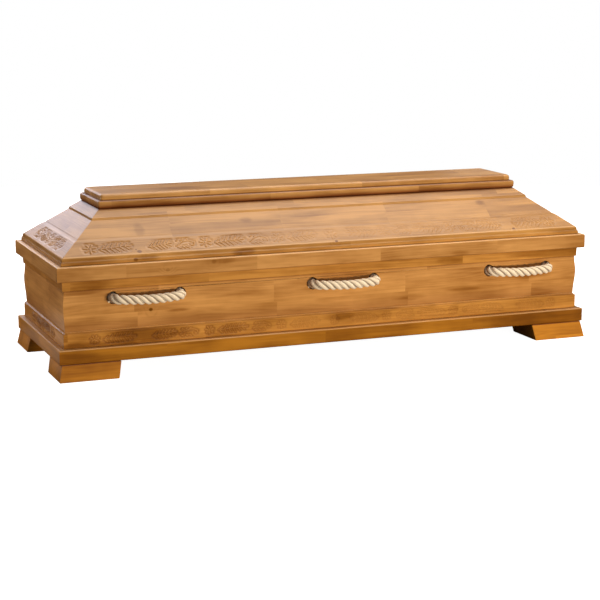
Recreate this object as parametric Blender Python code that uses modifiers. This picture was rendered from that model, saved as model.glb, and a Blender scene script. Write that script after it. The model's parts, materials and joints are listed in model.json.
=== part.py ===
"""A wooden coffin: a hipped lid under a two-tier cap, on a moulded base with block feet and rope handles.

Metres, +Z up. The length runs along X, the front is at -Y, and the origin is on the ground below the middle.
Every board round the coffin is drawn by its inset, the distance inwards from the outline of the rim, and its
height above the ground, so one outline gives the board of all four sides.
"""
import math

import bmesh
import bpy
from mathutils import Matrix, Vector

# Plan of the rim, the frame that every inset is measured from
RIM_LENGTH = 2.062
RIM_WIDTH = 0.670

# Heights above the ground
FEET_TOP = 0.060
PLINTH_TOP = 0.111
BAND_TOP = 0.170
PANEL_TOP = 0.312
RIM_BOTTOM = 0.348
RIM_TOP = 0.3995
NOSE_TOP = 0.4265
CAP_BOTTOM = 0.566
CAP_STEP = 0.5935
CAP_TOP = 0.615

# Insets from the rim's outline
PLINTH_INSET = 0.001
BAND_INSET = 0.022
MOULDING_INSET = 0.0213
PANEL_CREST_INSET = 0.0236
PANEL_FOOT_INSET = 0.029
PANEL_HEAD_INSET = 0.0278
STRIP_BACK_INSET = 0.030
WALL_INSIDE_INSET = 0.048
NOSE_FOOT_INSET = 0.0195
CAP_LOWER_INSET = 0.2013
CAP_UPPER_INSET = 0.2135

# Thicknesses and small radii
GAP = 0.0003
FLOOR_THICKNESS = 0.020
LID_WALL_THICKNESS = 0.020
EDGE_RADIUS = 0.005
SMALL_RADIUS = 0.002
CAP_LOWER_RADIUS = 0.008
CAP_UPPER_RADIUS = 0.012
PANEL_CREST_HEIGHT = 0.255
PANEL_STEPS = 7

# Lid slope, as insets and heights of its edges
BAND_FACE_TOP = (0.0838, 0.4702)
LEDGE_BACK = (0.0953, 0.4755)
PANEL_FACE_BOTTOM = (0.0990, 0.4798)
PANEL_FACE_TOP = (0.1677, 0.5312)
FILLET_BOTTOM = (0.1691, 0.5380)
FILLET_TOP = (0.2063, CAP_BOTTOM - GAP)

# Feet: blocks that lean outwards
FOOT_LENGTH = 0.212
FOOT_WIDTH = 0.180
FOOT_INSET_X = 0.0085
FOOT_INSET_Y = 0.0005
FOOT_LEAN_X = 0.012
FOOT_LEAN_Y = 0.014

# Rope handles
HANDLE_CENTRES = (-0.709, 0.036, 0.755)
ROPE_RADIUS = 0.017
ROPE_PROUD = 0.050
ROPE_BOW_ANGLE = math.radians(7)
ROPE_BOW_STEPS = 3
ROPE_BEND_RADIUS = 0.036
ROPE_BEND_STEPS = 6
ROPE_SAG = 0.004
BORE_HEIGHT = 0.279
BORE_HALF_SPAN = 0.1215
BORE_WIDTH = 0.044
KNOT_RADIUS = 0.040

COFFIN = "wooden_coffin"
CUTTERS = "cutters"

# Each side of the coffin, by the turn that brings the front to it
SIDES = {"front": 0.0, "right": math.pi / 2, "back": math.pi, "left": -math.pi / 2}


def clear_scene():
    for old in list(bpy.data.objects):
        bpy.data.objects.remove(old, do_unlink=True)


def collection(name):
    made = bpy.data.collections.new(name)
    bpy.context.scene.collection.children.link(made)
    return made


def linear(channel):
    """One sRGB channel of 0 to 255 as linear light."""
    share = channel / 255
    return share / 12.92 if share <= 0.04045 else ((share + 0.055) / 1.055) ** 2.4


def material(name, red, green, blue, roughness):
    made = bpy.data.materials.new(name)
    colour = (linear(red), linear(green), linear(blue))
    made.use_nodes = True
    shader = made.node_tree.nodes["Principled BSDF"]
    shader.inputs["Base Color"].default_value = (*colour, 1.0)
    shader.inputs["Roughness"].default_value = roughness
    shader.inputs["Metallic"].default_value = 0.0
    return made


def add_object(name, mesh, home, finish):
    made = bpy.data.objects.new(name, mesh)
    home.objects.link(made)
    if finish:
        mesh.materials.clear()
        mesh.materials.append(finish)
    return made


def arc(centre, radius, start, end, steps):
    """Points on an arc, with angles in degrees: 0 points outwards, towards a smaller inset, and 90 up."""
    points = []
    for step in range(steps + 1):
        angle = math.radians(start + (end - start) * step / steps)
        points.append((centre[0] - radius * math.cos(angle), centre[1] + radius * math.sin(angle)))
    return points


def plan_of(side):
    """Half the length along a side, and the distance from the middle to the rim's outline there."""
    if side in ("front", "back"):
        return RIM_LENGTH / 2, RIM_WIDTH / 2
    return RIM_WIDTH / 2, RIM_LENGTH / 2


def mitred_board(name, side, outline, home, finish):
    """A board along one side: its outline of insets and heights, extruded, then mitred at both ends."""
    half_length, depth = plan_of(side)
    curve = bpy.data.curves.new(name, "CURVE")
    curve.dimensions = "2D"
    curve.fill_mode = "BOTH"
    curve.extrude = half_length
    spline = curve.splines.new("POLY")
    spline.points.add(len(outline) - 1)
    for point, (inset, height) in zip(spline.points, outline):
        point.co = (inset - depth, height, 0.0, 1.0)
    spline.use_cyclic_u = True
    drawn = bpy.data.objects.new(name, curve)
    home.objects.link(drawn)
    bpy.context.view_layer.update()
    mesh = bpy.data.meshes.new_from_object(drawn.evaluated_get(bpy.context.evaluated_depsgraph_get()))
    bpy.data.objects.remove(drawn, do_unlink=True)
    bpy.data.curves.remove(curve)
    mesh.name = name

    # The drawing's first axis becomes Y, its second Z, and its extrusion runs along X
    stand = Matrix(((0, 0, 1, 0), (1, 0, 0, 0), (0, 1, 0, 0), (0, 0, 0, 1)))
    shape = bmesh.new()
    shape.from_mesh(mesh)
    bmesh.ops.transform(shape, matrix=stand, verts=shape.verts)
    bmesh.ops.remove_doubles(shape, verts=shape.verts, dist=0.00001)
    for end in (-1, 1):
        cut = bmesh.ops.bisect_plane(
            shape,
            geom=shape.verts[:] + shape.edges[:] + shape.faces[:],
            dist=0.000001,
            plane_co=(end * (half_length - depth - GAP / 2), 0.0, 0.0),
            plane_no=(end, 1.0, 0.0),
            clear_outer=True,
        )
        rim = [edge for edge in cut["geom_cut"] if isinstance(edge, bmesh.types.BMEdge)]
        bmesh.ops.contextual_create(shape, geom=rim)
    bmesh.ops.recalc_face_normals(shape, faces=shape.faces)
    shape.to_mesh(mesh)
    shape.free()
    board = add_object(name, mesh, home, finish)
    board.rotation_euler.z = SIDES[side]
    return board


def block(name, low, high, home, finish):
    """A rectangular block between two corners."""
    shape = bmesh.new()
    bmesh.ops.create_cube(shape, size=1.0)
    size = [high[i] - low[i] for i in range(3)]
    middle = [(high[i] + low[i]) / 2 for i in range(3)]
    bmesh.ops.scale(shape, vec=size, verts=shape.verts)
    bmesh.ops.translate(shape, vec=middle, verts=shape.verts)
    mesh = bpy.data.meshes.new(name)
    shape.to_mesh(mesh)
    shape.free()
    return add_object(name, mesh, home, finish)


def round_edges(piece, width, segments, at_height=None):
    """Rounds a block's edges: all of them, or those at one height and the upright corners."""
    if at_height is not None:
        weight = piece.data.attributes.new("bevel_weight_edge", "FLOAT", "EDGE")
        for edge in piece.data.edges:
            heights = [piece.data.vertices[i].co.z for i in edge.vertices]
            level = all(abs(height - at_height) < 0.0001 for height in heights)
            upright = abs(heights[0] - heights[1]) > 0.0001
            weight.data[edge.index].value = 1.0 if level or upright else 0.0
    bevel = piece.modifiers.new("rounded edges", "BEVEL")
    bevel.width = width
    bevel.segments = segments
    bevel.limit_method = "NONE" if at_height is None else "WEIGHT"
    return piece


def panel_inset(height):
    """The bowed face of the base: it swells to its crest, then draws in above and below it."""
    if height < PANEL_CREST_HEIGHT:
        along = (PANEL_CREST_HEIGHT - height) / (PANEL_CREST_HEIGHT - BAND_TOP)
        end = PANEL_FOOT_INSET
    else:
        along = (height - PANEL_CREST_HEIGHT) / (PANEL_TOP - PANEL_CREST_HEIGHT)
        end = PANEL_HEAD_INSET
    return PANEL_CREST_INSET + (end - PANEL_CREST_INSET) * (1 - math.cos(math.pi * along)) / 2


def wall_outline():
    """A wall board of the base: flat behind the strips, and bowed between them."""
    bottom = FEET_TOP + GAP
    outline = [(WALL_INSIDE_INSET, bottom), (STRIP_BACK_INSET, bottom), (STRIP_BACK_INSET, BAND_TOP + GAP)]
    for step in range(2 * PANEL_STEPS + 1):
        height = BAND_TOP + GAP + (PANEL_TOP - BAND_TOP - 2 * GAP) * step / (2 * PANEL_STEPS)
        outline.append((panel_inset(height), height))
    outline.append((STRIP_BACK_INSET, PANEL_TOP - GAP))
    outline.append((STRIP_BACK_INSET, RIM_BOTTOM - GAP))
    outline.append((WALL_INSIDE_INSET, RIM_BOTTOM - GAP))
    return outline


def plinth_outline():
    bottom = FEET_TOP + GAP
    crown = (PLINTH_INSET + EDGE_RADIUS, PLINTH_TOP - EDGE_RADIUS)
    outline = [(STRIP_BACK_INSET - GAP, bottom), (PLINTH_INSET + SMALL_RADIUS, bottom)]
    outline.append((PLINTH_INSET, bottom + SMALL_RADIUS))
    outline += arc(crown, EDGE_RADIUS, 0, 90, 4)
    outline.append((STRIP_BACK_INSET - GAP, PLINTH_TOP))
    return outline


def band_outline():
    """The carved strip: an upright face with a hollow along its top edge."""
    hollow = (BAND_INSET, BAND_TOP)
    outline = [(STRIP_BACK_INSET - GAP, PLINTH_TOP + GAP), (BAND_INSET, PLINTH_TOP + GAP)]
    outline += arc(hollow, 0.0075, -90, -180, 3)[:3]
    outline.append((STRIP_BACK_INSET - GAP, BAND_TOP))
    return outline


def moulding_outline():
    bottom = PANEL_TOP
    outline = [(STRIP_BACK_INSET - GAP, bottom), (MOULDING_INSET + 0.0035, bottom)]
    outline.append((MOULDING_INSET + 0.0012, bottom + SMALL_RADIUS))
    outline.append((MOULDING_INSET, RIM_BOTTOM - 3 * SMALL_RADIUS))
    outline.append((MOULDING_INSET, RIM_BOTTOM - GAP))
    outline.append((STRIP_BACK_INSET - GAP, RIM_BOTTOM - GAP))
    return outline


def rim_outline():
    crown = (EDGE_RADIUS, RIM_TOP - EDGE_RADIUS)
    outline = [(WALL_INSIDE_INSET, RIM_BOTTOM), (SMALL_RADIUS, RIM_BOTTOM), (0.0, RIM_BOTTOM + SMALL_RADIUS)]
    outline += arc(crown, EDGE_RADIUS, 0, 90, 4)
    outline.append((WALL_INSIDE_INSET, RIM_TOP))
    return outline


def lid_outline():
    """A lid board: the stepped nose, the carved band, the plain panel and the fillet under the cap."""
    foot = RIM_TOP + GAP
    outline = [(NOSE_FOOT_INSET, foot), (NOSE_FOOT_INSET, 0.4115)]
    outline += arc((NOSE_FOOT_INSET, 0.4165), 0.004, -90, -180, 3)[1:]
    outline.append((NOSE_FOOT_INSET + 0.0045, 0.4215))
    outline.append((NOSE_FOOT_INSET + 0.0062, NOSE_TOP - 0.001))
    outline.append((NOSE_FOOT_INSET + 0.0095, NOSE_TOP + 0.0018))
    outline += [BAND_FACE_TOP, LEDGE_BACK, PANEL_FACE_BOTTOM, PANEL_FACE_TOP, FILLET_BOTTOM, FILLET_TOP]

    # The inner face follows the slope at the wall's thickness, then drops to the rim inside the walls
    rise = PANEL_FACE_TOP[1] - PANEL_FACE_BOTTOM[1]
    run = PANEL_FACE_TOP[0] - PANEL_FACE_BOTTOM[0]
    inwards = LID_WALL_THICKNESS / math.sin(math.atan2(rise, run))
    top_inset = FILLET_TOP[0] + inwards
    outline.append((top_inset, FILLET_TOP[1]))
    outline.append((WALL_INSIDE_INSET, FILLET_TOP[1] - (top_inset - WALL_INSIDE_INSET) * rise / run))
    outline.append((WALL_INSIDE_INSET, foot))
    return outline


def bore_cutter(name, along, home):
    """A round hole through a side board, where one end of a rope goes in."""
    shape = bmesh.new()
    bmesh.ops.create_cone(
        shape, cap_ends=True, segments=20, radius1=BORE_WIDTH / 2, radius2=BORE_WIDTH / 2, depth=0.10,
    )
    bmesh.ops.rotate(shape, matrix=Matrix.Rotation(math.pi / 2, 3, "X"), verts=shape.verts)
    bmesh.ops.translate(shape, vec=(along, -RIM_WIDTH / 2 + 0.04, BORE_HEIGHT), verts=shape.verts)
    mesh = bpy.data.meshes.new(name)
    shape.to_mesh(mesh)
    shape.free()
    cutter = add_object(name, mesh, home, None)
    cutter.hide_render = True
    cutter.display_type = "WIRE"
    return cutter


def cut(piece, cutter):
    hole = piece.modifiers.new(cutter.name, "BOOLEAN")
    hole.operation = "DIFFERENCE"
    hole.object = cutter


def rope_half_path():
    """The right half of a handle's line, from its middle: along, out from the board's face, and up.

    It is bowed a little as far as the bend, and the bend turns it straight into the hole.
    """
    run = ROPE_BEND_RADIUS * (1 - math.sin(ROPE_BOW_ANGLE))
    bowed = BORE_HALF_SPAN - run
    bow = bowed * math.tan(ROPE_BOW_ANGLE / 2)
    flat = []
    for i in range(ROPE_BOW_STEPS + 1):
        share = i / ROPE_BOW_STEPS
        flat.append((bowed * share, ROPE_PROUD - bow * share ** 2))
    for i in range(1, ROPE_BEND_STEPS + 1):
        angle = ROPE_BOW_ANGLE + (math.pi / 2 - ROPE_BOW_ANGLE) * i / ROPE_BEND_STEPS
        along = bowed + ROPE_BEND_RADIUS * (math.sin(angle) - math.sin(ROPE_BOW_ANGLE))
        drop = ROPE_BEND_RADIUS * (math.cos(ROPE_BOW_ANGLE) - math.cos(angle))
        flat.append((along, ROPE_PROUD - bow - drop))
    points = []
    for along, proud in flat:
        share = along / BORE_HALF_SPAN
        points.append((along, proud, -ROPE_SAG * (1 - share ** 2) ** 2))
    wall = WALL_INSIDE_INSET - PANEL_CREST_INSET
    points.append((BORE_HALF_SPAN, -wall - 2 * KNOT_RADIUS - 0.006, 0.0))
    return points


def rope_handle(name, side, centre, home, finish):
    """A rope bowed out between two holes, with a stopper knot on each end inside the coffin."""
    face = RIM_WIDTH / 2 - PANEL_CREST_INSET
    right = rope_half_path()
    line = [(-x, out, up) for x, out, up in reversed(right[1:])] + right
    curve = bpy.data.curves.new(name, "CURVE")
    curve.dimensions = "3D"
    curve.bevel_depth = ROPE_RADIUS
    curve.bevel_resolution = 3
    curve.use_fill_caps = True
    spline = curve.splines.new("POLY")
    spline.points.add(len(line) - 1)
    for point, (along, out, up) in zip(spline.points, line):
        point.co = (centre + along, -face - out, BORE_HEIGHT + up, 1.0)
    drawn = bpy.data.objects.new(name, curve)
    home.objects.link(drawn)
    bpy.context.view_layer.update()
    mesh = bpy.data.meshes.new_from_object(drawn.evaluated_get(bpy.context.evaluated_depsgraph_get()))
    bpy.data.objects.remove(drawn, do_unlink=True)
    bpy.data.curves.remove(curve)
    mesh.name = name
    shape = bmesh.new()
    shape.from_mesh(mesh)
    bmesh.ops.remove_doubles(shape, verts=shape.verts, dist=0.00001)
    bmesh.ops.recalc_face_normals(shape, faces=shape.faces)
    shape.to_mesh(mesh)
    shape.free()
    handle = add_object(name, mesh, home, finish)
    handle.rotation_euler.z = SIDES[side]
    return handle, right[-2][0]


def knot(name, along, side, home):
    """The lump of a stopper knot, drawn up against the inside of the wall."""
    shape = bmesh.new()
    bmesh.ops.create_uvsphere(shape, u_segments=14, v_segments=8, radius=KNOT_RADIUS)
    bmesh.ops.rotate(shape, matrix=Matrix.Rotation(math.pi / 2, 3, "X"), verts=shape.verts)
    inside = -RIM_WIDTH / 2 + WALL_INSIDE_INSET
    place = (along, inside + GAP + KNOT_RADIUS, BORE_HEIGHT)
    bmesh.ops.translate(shape, vec=place, verts=shape.verts)
    mesh = bpy.data.meshes.new(name)
    shape.to_mesh(mesh)
    shape.free()
    lump = add_object(name, mesh, home, None)
    lump.rotation_euler.z = SIDES[side]
    lump.hide_render = True
    lump.display_type = "WIRE"
    return lump


def join(piece, lump):
    union = piece.modifiers.new(lump.name, "BOOLEAN")
    union.operation = "UNION"
    union.object = lump


def build_walls(home, cutters, wood):
    for side in SIDES:
        kind = "side" if side in ("front", "back") else "end"
        wall = mitred_board(f"base_{kind}_{side}", side, wall_outline(), home, wood["wall"])
        if kind == "side":
            for number, centre in enumerate(HANDLE_CENTRES, 1):
                for way in (-1, 1):
                    mirrored = centre if side == "front" else -centre
                    along = mirrored + way * BORE_HALF_SPAN
                    cutter = bore_cutter(f"bore_{side}_{number}_{way}", along, cutters)
                    cutter.rotation_euler.z = SIDES[side]
                    cut(wall, cutter)
        mitred_board(f"top_moulding_{side}", side, moulding_outline(), home, wood["strip"])
        mitred_board(f"carved_band_{side}", side, band_outline(), home, wood["strip"])
        mitred_board(f"plinth_{side}", side, plinth_outline(), home, wood["plinth"])
        mitred_board(f"rim_{side}", side, rim_outline(), home, wood["rim"])


def build_floor(home, wood):
    half_length = RIM_LENGTH / 2 - WALL_INSIDE_INSET - GAP
    half_width = RIM_WIDTH / 2 - WALL_INSIDE_INSET - GAP
    low = (-half_length, -half_width, FEET_TOP + GAP)
    high = (half_length, half_width, FEET_TOP + GAP + FLOOR_THICKNESS)
    block("base_floor", low, high, home, wood)


def build_feet(home, wood):
    """Four blocks, each leaning outwards both ways from its top."""
    half_length = RIM_LENGTH / 2 - FOOT_INSET_X
    half_width = RIM_WIDTH / 2 - FOOT_INSET_Y
    for depth_name, sign_y in (("front", -1), ("back", 1)):
        for length_name, sign_x in (("left", -1), ("right", 1)):
            outer = (sign_x * half_length, sign_y * half_width)
            inner = (outer[0] - sign_x * FOOT_LENGTH, outer[1] - sign_y * FOOT_WIDTH)
            low = (min(outer[0], inner[0]), min(outer[1], inner[1]), 0.0)
            high = (max(outer[0], inner[0]), max(outer[1], inner[1]), FEET_TOP)
            foot = block(f"foot_{depth_name}_{length_name}", low, high, home, wood)
            for vertex in foot.data.vertices:
                if vertex.co.z < FEET_TOP / 2:
                    vertex.co.x += sign_x * FOOT_LEAN_X
                    vertex.co.y += sign_y * FOOT_LEAN_Y
            round_edges(foot, SMALL_RADIUS, 1)


def build_lid(home, wood):
    for side in SIDES:
        kind = "side" if side in ("front", "back") else "end"
        mitred_board(f"lid_{kind}_{side}", side, lid_outline(), home, wood["lid"])

    tiers = (
        ("lid_cap_lower", CAP_LOWER_INSET, CAP_BOTTOM, CAP_STEP, CAP_LOWER_RADIUS, None),
        ("lid_cap_upper", CAP_UPPER_INSET, CAP_STEP + GAP, CAP_TOP, CAP_UPPER_RADIUS, CAP_TOP),
    )
    for name, inset, bottom, top, radius, rounded_height in tiers:
        low = (-RIM_LENGTH / 2 + inset, -RIM_WIDTH / 2 + inset, bottom)
        high = (RIM_LENGTH / 2 - inset, RIM_WIDTH / 2 - inset, top)
        board = block(name, low, high, home, wood["cap"])
        round_edges(board, radius, 4, rounded_height)


def build_handles(home, cutters, rope):
    for side in ("front", "back"):
        for number, centre in enumerate(HANDLE_CENTRES, 1):
            mirrored = centre if side == "front" else -centre
            name = f"rope_handle_{side}_{number}"
            handle, reach = rope_handle(name, side, mirrored, home, rope)
            for way in (-1, 1):
                lump = knot(f"knot_{side}_{number}_{way}", mirrored + way * reach, side, cutters)
                join(handle, lump)


def main():
    clear_scene()
    home = collection(COFFIN)
    cutters = collection(CUTTERS)
    wood = {
        "cap": material("cap_boards_pale_honey", 222, 184, 144, 0.35),
        "lid": material("lid_boards_honey", 200, 152, 104, 0.35),
        "rim": material("rim_boards_golden", 170, 115, 60, 0.38),
        "wall": material("wall_boards_golden", 176, 120, 62, 0.38),
        "strip": material("moulded_strips_golden", 168, 112, 52, 0.38),
        "plinth": material("plinth_boards_brown", 145, 86, 26, 0.40),
        "floor": material("floor_board_plain", 178, 134, 84, 0.60),
        "foot": material("block_feet_brown", 158, 100, 44, 0.45),
    }
    rope = material("twisted_cream_rope", 232, 206, 170, 0.85)
    build_walls(home, cutters, wood)
    build_floor(home, wood["floor"])
    build_feet(home, wood["foot"])
    build_lid(home, wood)
    build_handles(home, cutters, rope)


main()
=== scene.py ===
# %% [markdown]
# # Dressing a wooden coffin
# The solid model already has every board, block and rope at its real size. This lesson gives them what the
# eye sees from a step away: soft edges, a carved frieze of leaves, twisted rope and lacquered softwood.
# Lengths are metres, X runs along the coffin, the front is at -Y and the floor is at Z = 0.

import json
import math

import bpy
import numpy as np
from mathutils import Matrix, Vector


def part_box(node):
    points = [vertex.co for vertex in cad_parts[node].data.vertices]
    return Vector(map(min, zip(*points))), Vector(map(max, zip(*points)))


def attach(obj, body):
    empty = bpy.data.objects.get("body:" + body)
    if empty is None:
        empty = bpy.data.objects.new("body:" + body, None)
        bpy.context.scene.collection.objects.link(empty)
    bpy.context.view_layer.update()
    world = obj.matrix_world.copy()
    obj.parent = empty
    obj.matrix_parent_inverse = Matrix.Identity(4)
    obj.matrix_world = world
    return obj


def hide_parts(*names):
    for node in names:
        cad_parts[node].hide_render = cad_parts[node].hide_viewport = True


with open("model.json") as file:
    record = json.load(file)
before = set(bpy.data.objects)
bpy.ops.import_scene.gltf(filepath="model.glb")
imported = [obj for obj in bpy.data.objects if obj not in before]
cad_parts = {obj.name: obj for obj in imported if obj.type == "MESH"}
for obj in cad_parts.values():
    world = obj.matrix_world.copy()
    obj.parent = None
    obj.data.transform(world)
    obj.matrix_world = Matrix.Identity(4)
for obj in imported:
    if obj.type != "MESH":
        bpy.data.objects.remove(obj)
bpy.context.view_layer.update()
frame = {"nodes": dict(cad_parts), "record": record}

# %% [markdown]
# ## Sizes shared with the solids
# Every board was drawn by its inset from the outline of the rim, so the same few numbers place all the
# pieces here. The four sides differ by a quarter turn. The lid rises in two slopes, the carved band and the
# panel, and an inset and a height at both ends give each slope better than an angle read off by eye.

# %% Named sizes
RIM_HALF_WIDTH = 0.335
SIDES = {"front": 0.0, "right": math.pi / 2, "back": math.pi, "left": -math.pi / 2}
BAND_FACE_FOOT = (0.0290, 0.4283)
BAND_FACE_TOP = (0.0838, 0.4702)
PANEL_FACE_BOTTOM = (0.0990, 0.4798)
PANEL_FACE_TOP = (0.1677, 0.5312)


def slope_between(low, high):
    return math.atan2(high[1] - low[1], high[0] - low[0])


BAND_SLOPE = slope_between(BAND_FACE_FOOT, BAND_FACE_TOP)
LID_SLOPE = slope_between(PANEL_FACE_BOTTOM, PANEL_FACE_TOP)
print("slopes in degrees", [round(math.degrees(slope), 1) for slope in (BAND_SLOPE, LID_SLOPE)])


def on_lid(x, inset):
    """The point of the front slope at a place along it and an inset from the rim's outline."""
    on_band = inset < BAND_FACE_TOP[0]
    foot, slope = (BAND_FACE_FOOT, BAND_SLOPE) if on_band else (PANEL_FACE_BOTTOM, LID_SLOPE)
    return (x, inset - RIM_HALF_WIDTH, foot[1] + (inset - foot[0]) * math.tan(slope))


# %% [markdown]
# ## Copying a board from the frame
# A board's solid arrives as loose triangles. By hand one would duplicate it, merge its vertices and melt
# the flat triangles back into faces, and this helper does that. The solid itself stays untouched.

# %% Copy a board and make it clean
MERGE_DISTANCE = 0.00001
FLAT_ANGLE = 0.002


def only(*pieces):
    """Select these pieces alone, with the last one active."""
    bpy.ops.object.select_all(action="DESELECT")
    for piece in pieces:
        piece.select_set(True)
    bpy.context.view_layer.objects.active = pieces[-1]


def new_piece(name, mesh):
    piece = bpy.data.objects.new(name, mesh)
    bpy.context.scene.collection.objects.link(piece)
    return piece


def copy_board(node, name):
    piece = new_piece(name, frame["nodes"][node].data.copy())
    only(piece)
    bpy.ops.object.mode_set(mode="EDIT")
    bpy.ops.mesh.select_all(action="SELECT")
    bpy.ops.mesh.remove_doubles(threshold=MERGE_DISTANCE)
    bpy.ops.mesh.dissolve_limited(angle_limit=FLAT_ANGLE)
    bpy.ops.object.mode_set(mode="OBJECT")
    return piece


# %% [markdown]
# ## Working on one side at a time
# A back or end board is a front board turned round the coffin. Turning its points back to the front lets
# the same few lines serve all four sides.

# %% Turn a side to the front
def side_of(node):
    """The side that a board belongs to. The feet are sawn along the coffin, as the front boards are."""
    ending = node.rsplit("_", 1)[1]
    return ending if ending in SIDES and not node.startswith("foot") else "front"


def to_front(side):
    return np.array(Matrix.Rotation(-SIDES[side], 3, "Z"))


def points_of(piece):
    points = np.zeros(len(piece.data.vertices) * 3)
    piece.data.vertices.foreach_get("co", points)
    return points.reshape(-1, 3)


def turned_points(piece, side):
    """The piece's points as if it were the front one."""
    return points_of(piece) @ to_front(side).T


print("boards on each side", {side: sum(side_of(node) == side for node in frame["nodes"]) for side in SIDES})

# %% [markdown]
# ## Softened arrises
# A planed and lacquered board never has a knife edge: sanding rounds it by a millimetre or two, and the
# round catches the light as a thin bright line. One could bevel each edge by hand. Here the sharp edges
# along a board get a weight, and one Bevel modifier rounds those alone. The mitres stay sharp, as they are
# glued.

# %% Round the edges along a board
SHARP_ANGLE = math.radians(30)
NEARLY_ALONG = 0.9
ARRIS_SEGMENTS = 3


def soften(piece, side, width):
    points = turned_points(piece, side)
    faces = {}
    for face in piece.data.polygons:
        for key in face.edge_keys:
            faces.setdefault(key, []).append(Vector(face.normal))
    weight = piece.data.attributes.new("bevel_weight_edge", "FLOAT", "EDGE")
    for edge in piece.data.edges:
        a, b = edge.vertices
        run = points[b] - points[a]
        along = abs(run[0]) > NEARLY_ALONG * np.linalg.norm(run)
        meeting = faces.get(edge.key, [])
        sharp = len(meeting) == 2 and meeting[0].angle(meeting[1], 0.0) > SHARP_ANGLE
        weight.data[edge.index].value = 1.0 if sharp and along else 0.0
    bevel = piece.modifiers.new("arris", "BEVEL")
    bevel.limit_method = "WEIGHT"
    bevel.width = width
    bevel.segments = ARRIS_SEGMENTS
    bevel.use_clamp_overlap = False
    only(piece)
    bpy.ops.object.modifier_apply(modifier=bevel.name)


# %% [markdown]
# ## Shading that keeps flat faces flat
# Smooth shading blends the light over the little rounds, and would also bend it on the wide flat faces
# beside them. The Weighted Normal modifier lets the widest face win, so they stay flat. It would leave a
# mark round each hole in a bowed wall, so there the normals are read near the board's ends and given out by
# height.

# %% Shade a board
PLAIN_ANGLE = 35
CARVED_ANGLE = 40
FACES_FRONT = 0.7
NEAR_THE_ENDS = 0.9


def shade(piece, degrees):
    only(piece)
    bpy.ops.object.shade_smooth_by_angle(angle=math.radians(degrees))
    settle = piece.modifiers.new("settle", "WEIGHTED_NORMAL")
    settle.keep_sharp = True
    bpy.ops.object.modifier_apply(modifier=settle.name)


def shade_bow(piece, side):
    """Shade the bowed face of a wall by its height alone, so that the holes leave no mark in its shine."""
    points, turn = turned_points(piece, side), to_front(side)
    outer = [face for face in piece.data.polygons if (turn @ np.array(face.normal))[1] < -FACES_FRONT]
    reach = NEAR_THE_ENDS * np.abs(points[:, 0]).max()
    found = {}
    for face in outer:
        for index in face.vertices:
            if abs(points[index, 0]) > reach:
                found.setdefault(round(float(points[index, 2]), 5), []).append(turn @ np.array(face.normal))
    heights = sorted(found)
    table = np.array([np.mean(found[height], axis=0) for height in heights])
    corner = [Vector(item.vector) for item in piece.data.corner_normals]
    for face in outer:
        for loop in face.loop_indices:
            z = points[piece.data.loops[loop].vertex_index, 2]
            normal = np.array([np.interp(z, heights, table[:, k]) for k in range(3)]) @ turn
            corner[loop] = Vector(normal).normalized()
    piece.data.normals_split_custom_set(corner)
    return len(heights)


# %% [markdown]
# ## Where the grain runs
# Wood is solid, so its pattern has to run through the whole board and not be pasted on its faces. Each
# point is given three lengths: along the grain, across the face, and into the wood, counted from the heart
# of the tree that the board was sawn from. The material draws its rings from these.

# %% Store the grain directions
def lay_grain(piece, side, slope, heart_across, heart_deep, shift):
    points = turned_points(piece, side)
    across = points[:, 1] * math.cos(slope) + points[:, 2] * math.sin(slope)
    deep = -points[:, 1] * math.sin(slope) + points[:, 2] * math.cos(slope)
    grain = np.stack([points[:, 0] + shift, across - heart_across, deep - heart_deep], 1)
    attribute = piece.data.attributes.new("grain", "FLOAT_VECTOR", "POINT")
    attribute.data.foreach_set("vector", grain.astype(np.float32).ravel())


# %% [markdown]
# ## Building a material node by node
# A material is a tree of nodes, which by hand one adds from a menu, sets and wires up. One small function
# does that here for every kind of node, so that each line reads as its node. Colours are hex values, as
# picked from a paint chart, and one function turns them into the linear light that Blender adds up.

# %% Helpers for materials
def linear(code):
    channels = [int(code[i:i + 2], 16) / 255 for i in (1, 3, 5)]
    return [c / 12.92 if c <= 0.04045 else ((c + 0.055) / 1.055) ** 2.4 for c in channels] + [1.0]


def add(tree, kind, *inputs, out=0, **settings):
    """Add a node, set it, fill or link its inputs, in order or from a dictionary, and return one output."""
    kind, _, operation = kind.partition(" ")
    node = tree.nodes.new("ShaderNode" + kind)
    if operation:
        node.operation = operation
    for key, value in settings.items():
        setattr(node, key, value)
    named = len(inputs) == 1 and isinstance(inputs[0], dict)
    for key, value in inputs[0].items() if named else enumerate(inputs):
        if isinstance(value, bpy.types.NodeSocket):
            tree.links.new(value, node.inputs[key])
        else:
            node.inputs[key].default_value = value
    return node.outputs[out]


# The Mix node keeps its sockets for colours at these places
FACTOR, FIRST, SECOND = 0, 6, 7
COLOURS = {"out": 2, "data_type": "RGBA"}
SMOOTH = {"interpolation_type": "SMOOTHSTEP"}
print("a paint chart colour as light", [round(c, 3) for c in linear("#CF934F")])

# %% [markdown]
# ## Lacquered softwood, and its staves and blocks
# The boards are a softwood such as spruce: planed, stained honey brown and sprayed with a semi-gloss
# lacquer. It gives the eye thin darker rings, streaks, soft clouds where the stain took unevenly, and a few
# small dark knots. Boards are glued up from staves and finger-jointed blocks, each a little different in
# tone. Nobody would draw every block, so whole staves and lengths are counted, and white noise turns the
# counts to chance.

# %% Give each block its own chance value
JOINT_STAGGER = 5.0
FIGURE_SHIFT = 7.3


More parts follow.
